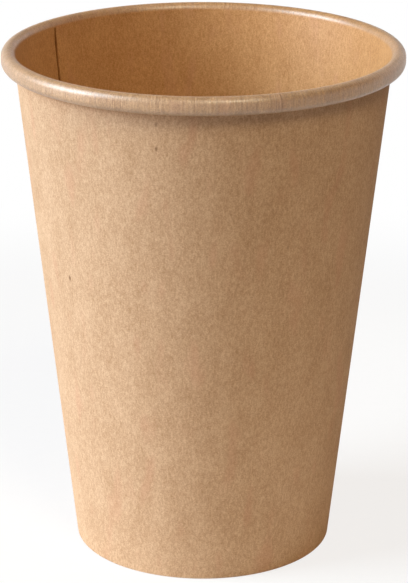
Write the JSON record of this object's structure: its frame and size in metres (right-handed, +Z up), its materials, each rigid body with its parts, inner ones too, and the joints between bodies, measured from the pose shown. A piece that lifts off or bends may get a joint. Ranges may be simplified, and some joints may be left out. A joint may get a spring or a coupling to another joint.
{
  "type": "paper cup",
  "caption": "Single-wall paper cup of natural brown board, with a rolled rim, a lapped side seam and a raised base held by the folded foot.",
  "frame": {"origin": "centre of the foot, on the plane that the cup stands on", "axes": "+Z up through the mouth, -Y towards the side that the picture shows, +X to the viewer's right of that view"},
  "size_m": [0.09, 0.09, 0.1165],
  "materials": {
    "wall_board": "uncoated brown board outside, satin coating inside and over the rolled rim",
    "base_board": "brown board with a satin coating on top"
  },
  "bodies": {
    "root": {"side_wall": "wall_board", "base_disc": "base_board"}
  },
  "joints": []
}
